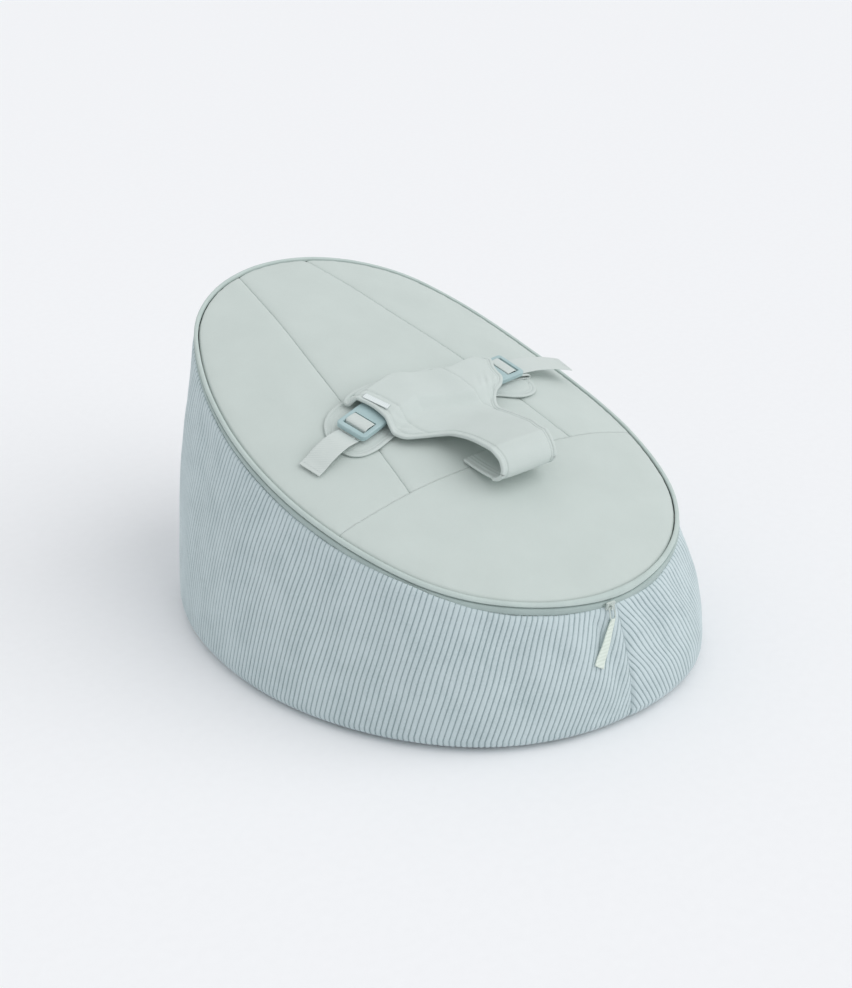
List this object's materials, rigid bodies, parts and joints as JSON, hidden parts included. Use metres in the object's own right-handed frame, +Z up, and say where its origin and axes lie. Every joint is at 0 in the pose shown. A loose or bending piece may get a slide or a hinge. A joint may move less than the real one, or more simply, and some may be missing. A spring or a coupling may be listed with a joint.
{
  "type": "baby beanbag lounger",
  "caption": "Oval bead-filled baby lounger, low at the foot, high at the head, in ribbed corduroy with a smooth domed seat, a T-shaped harness with side-release buckles, and a rim zip.",
  "frame": {"origin": "centre of the overall box, at the underside of the base", "axes": "+Y from the foot to the head, +Z up, +X to the right seen from the foot"},
  "size_m": [0.59, 0.6954, 0.3601],
  "materials": {
    "corduroy": "ribbed corduroy, soft sheen along the ribs",
    "seat_jersey": "smooth cotton jersey, matte",
    "base_cloth": "plain hard-wearing cloth",
    "rim_binding": "smooth bound edge",
    "zip_tape": "woven tape",
    "zip_coil": "moulded nylon coil",
    "slider_metal": "die-cast, satin",
    "pull_ribbon": "folded ribbon",
    "wadding": "fibre wadding",
    "liner_cloth": "plain woven cotton",
    "beads": "expanded beads",
    "harness_cloth": "padded jersey, matte",
    "label_ribbon": "satin ribbon, bare",
    "buckle_plastic": "moulded acetal, fine texture",
    "webbing": "flat woven webbing"
  },
  "bodies": {
    "lounger": {"side_panel_right": "corduroy", "side_panel_left": "corduroy", "base_panel": "base_cloth", "rim_band_upper": "rim_binding", "rim_band_lower": "rim_binding", "zip_tape_upper": "zip_tape", "zip_tape_lower": "zip_tape", "zip_chain": "zip_coil", "zip_stop": "zip_coil", "seat_centre_panel": "seat_jersey", "seat_side_panel_right": "seat_jersey", "seat_side_panel_left": "seat_jersey", "seat_foot_panel": "seat_jersey", "seat_wadding": "wadding", "liner_top": "liner_cloth", "liner_wall": "liner_cloth", "liner_base": "liner_cloth", "bead_fill": "beads", "liner_zip_tape": "zip_tape", "liner_zip_coil": "zip_coil", "crotch_strap_fold": "harness_cloth", "crotch_strap_root": "harness_cloth", "guard_pad_left": "harness_cloth", "guard_pad_right": "harness_cloth", "guard_pad_binding_left": "harness_cloth", "guard_pad_binding_right": "harness_cloth", "webbing_load_left": "webbing", "webbing_load_right": "webbing"},
    "harness": {"harness_front": "harness_cloth", "harness_binding": "harness_cloth", "harness_label": "label_ribbon", "buckle_socket_left": "buckle_plastic", "buckle_socket_right": "buckle_plastic", "socket_webbing_left": "webbing", "socket_webbing_right": "webbing"},
    "plug_left": {"buckle_plug_left": "buckle_plastic", "webbing_roll_left": "webbing"},
    "tail_left": {"webbing_tail_left": "webbing"},
    "prong_head_left": {"buckle_prong_head_left": "buckle_plastic"},
    "prong_foot_left": {"buckle_prong_foot_left": "buckle_plastic"},
    "plug_right": {"buckle_plug_right": "buckle_plastic", "webbing_roll_right": "webbing"},
    "tail_right": {"webbing_tail_right": "webbing"},
    "prong_head_right": {"buckle_prong_head_right": "buckle_plastic"},
    "prong_foot_right": {"buckle_prong_foot_right": "buckle_plastic"},
    "zip_slider": {"zip_slider": "slider_metal"},
    "zip_pull": {"zip_bail": "slider_metal", "zip_pull_ribbon": "pull_ribbon"},
    "liner_slider": {"liner_zip_slider": "slider_metal"}
  },
  "joints": [
    {"name": "harness_lift", "type": "hinge", "parent": "lounger", "child": "harness", "pos_m": [0, -0.158, 0.262], "axis": [1, 0, 0], "range_deg": [0, 20], "deforming": ["crotch_strap_fold", "webbing_load_left", "webbing_load_right"]},
    {"name": "buckle_left_release", "type": "slide", "parent": "harness", "child": "plug_left", "axis": [-0.9628, -0.2046, -0.1766], "range_m": [0, 0.03]},
    {"name": "prong_head_left_squeeze", "type": "hinge", "parent": "plug_left", "child": "prong_head_left", "pos_m": [-0.08289, 0.01224, 0.28907], "axis": [0.1139, 0.2853, -0.9517], "range_deg": [0, 6], "stiffness_Nm_per_rad": 0.3},
    {"name": "prong_foot_left_squeeze", "type": "hinge", "parent": "plug_left", "child": "prong_foot_left", "pos_m": [-0.07573, -0.0151, 0.28173], "axis": [-0.1139, -0.2853, 0.9517], "range_deg": [0, 6], "stiffness_Nm_per_rad": 0.3},
    {"name": "tail_left_lift", "type": "hinge", "parent": "plug_left", "child": "tail_left", "pos_m": [-0.13431, -0.0123, 0.27225], "axis": [-0.2451, 0.9363, 0.2514], "range_deg": [0, 50]},
    {"name": "buckle_right_release", "type": "slide", "parent": "harness", "child": "plug_right", "axis": [0.9767, 0.2076, -0.0544], "range_m": [0, 0.03]},
    {"name": "prong_head_right_squeeze", "type": "hinge", "parent": "plug_right", "child": "prong_head_right", "pos_m": [0.07662, 0.01222, 0.28963], "axis": [0.1115, -0.2745, 0.9551], "range_deg": [0, 6], "stiffness_Nm_per_rad": 0.3},
    {"name": "prong_foot_right_squeeze", "type": "hinge", "parent": "plug_right", "child": "prong_foot_right", "pos_m": [0.08197, -0.0152, 0.28113], "axis": [-0.1115, 0.2745, -0.9551], "range_deg": [0, 6], "stiffness_Nm_per_rad": 0.3},
    {"name": "tail_right_lift", "type": "hinge", "parent": "plug_right", "child": "tail_right", "pos_m": [0.1351, 0.01131, 0.27924], "axis": [0.1834, -0.9389, -0.2912], "range_deg": [0, 50]},
    {"name": "zip_travel", "type": "hinge", "parent": "lounger", "child": "zip_slider", "pos_m": [0, -0.11288, 0.20015], "axis": [0, -0.2351, 0.972], "range_deg": [0, 55]},
    {"name": "zip_pull_swing", "type": "hinge", "parent": "zip_slider", "child": "zip_pull", "pos_m": [-0.02087, -0.33033, 0.14755], "axis": [-0.9957, 0.0929, 0], "range_deg": [0, 120]},
    {"name": "liner_zip_travel", "type": "hinge", "parent": "lounger", "child": "liner_slider", "pos_m": [0, 0.89229, -2.68351], "axis": [-1, 0, 0], "range_deg": [0, 3.17]}
  ]
}
